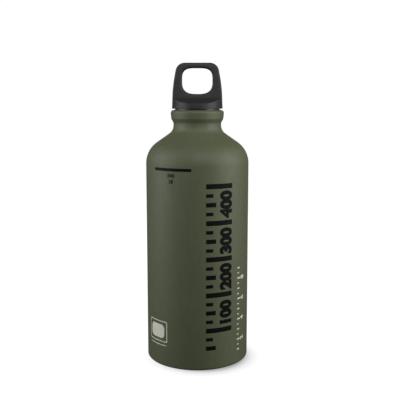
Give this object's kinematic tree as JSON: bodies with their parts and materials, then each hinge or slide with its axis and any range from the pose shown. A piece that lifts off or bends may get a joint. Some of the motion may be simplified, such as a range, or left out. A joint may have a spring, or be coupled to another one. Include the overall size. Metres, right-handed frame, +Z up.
{
  "type": "fuel bottle",
  "caption": "Seamless aluminium fuel bottle with a round shoulder, a threaded neck, a screw plug and a push-and-turn outer cap with a loop handle.",
  "frame": {"origin": "centre of the ring that the bottle stands on, in the plane of the table", "axes": "+Z up along the bottle's axis; the loop handle's plate lies in the XZ plane, and -Y is the front"},
  "size_m": [0.073, 0.073, 0.2114],
  "materials": {
    "green_coat": "satin",
    "seal_rubber": "matte",
    "plug_plastic": "matte",
    "spring_steel": "satin",
    "cap_plastic": "matte"
  },
  "bodies": {
    "bottle": {"bottle_shell": "green_coat"},
    "seal": {"neck_seal": "seal_rubber"},
    "plug": {"thread_plug": "plug_plastic"},
    "spring": {"wave_spring": "spring_steel"},
    "cap": {"outer_cap": "cap_plastic"}
  },
  "joints": [
    {"name": "cap_rise", "type": "slide", "parent": "bottle", "child": "seal", "axis": [0, 0, 1], "range_m": [0, 0.0135]},
    {"name": "cap_turn", "type": "hinge", "parent": "seal", "child": "plug", "pos_m": [0, 0, 0.1786], "axis": [0, 0, 1], "range_deg": [0, 1620]},
    {"name": "shell_spin", "type": "hinge", "parent": "plug", "child": "spring", "pos_m": [0, 0, 0.1814], "axis": [0, 0, 1], "continuous": true},
    {"name": "shell_push", "type": "slide", "parent": "spring", "child": "cap", "axis": [0, 0, -1], "range_m": [0, 0.0005], "stiffness_N_per_m": 1500, "springref_m": -0.002, "deforming": ["wave_spring"]}
  ],
  "couplings": [
    {"joint": "cap_rise", "follows": "cap_turn", "m_per_rad": 0.00047746}
  ]
}
